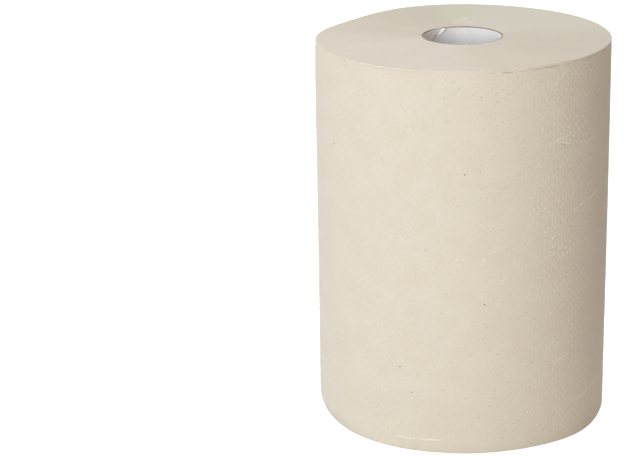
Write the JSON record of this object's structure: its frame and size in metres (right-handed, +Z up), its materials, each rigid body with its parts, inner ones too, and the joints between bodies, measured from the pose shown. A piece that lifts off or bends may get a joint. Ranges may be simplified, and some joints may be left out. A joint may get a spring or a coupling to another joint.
{
  "type": "paper towel roll",
  "caption": "Hard-wound roll of embossed natural paper towel on a spirally wound card tube, standing on its sawn end.",
  "frame": {"origin": "centre of the lower end, on the roll's axis", "axes": "+Z up the roll's axis; -Y is the front; the web's loose end is at the back, 118 degrees about +Z from +X"},
  "size_m": [0.1446, 0.1448, 0.191],
  "materials": {
    "core_card": "matt white-lined card, brown at the cut edge",
    "towel_paper": "matt unbleached towel paper, embossed with rows of small dots"
  },
  "bodies": {
    "root": {"core_tube": "core_card", "towel_winding": "towel_paper"}
  },
  "joints": []
}
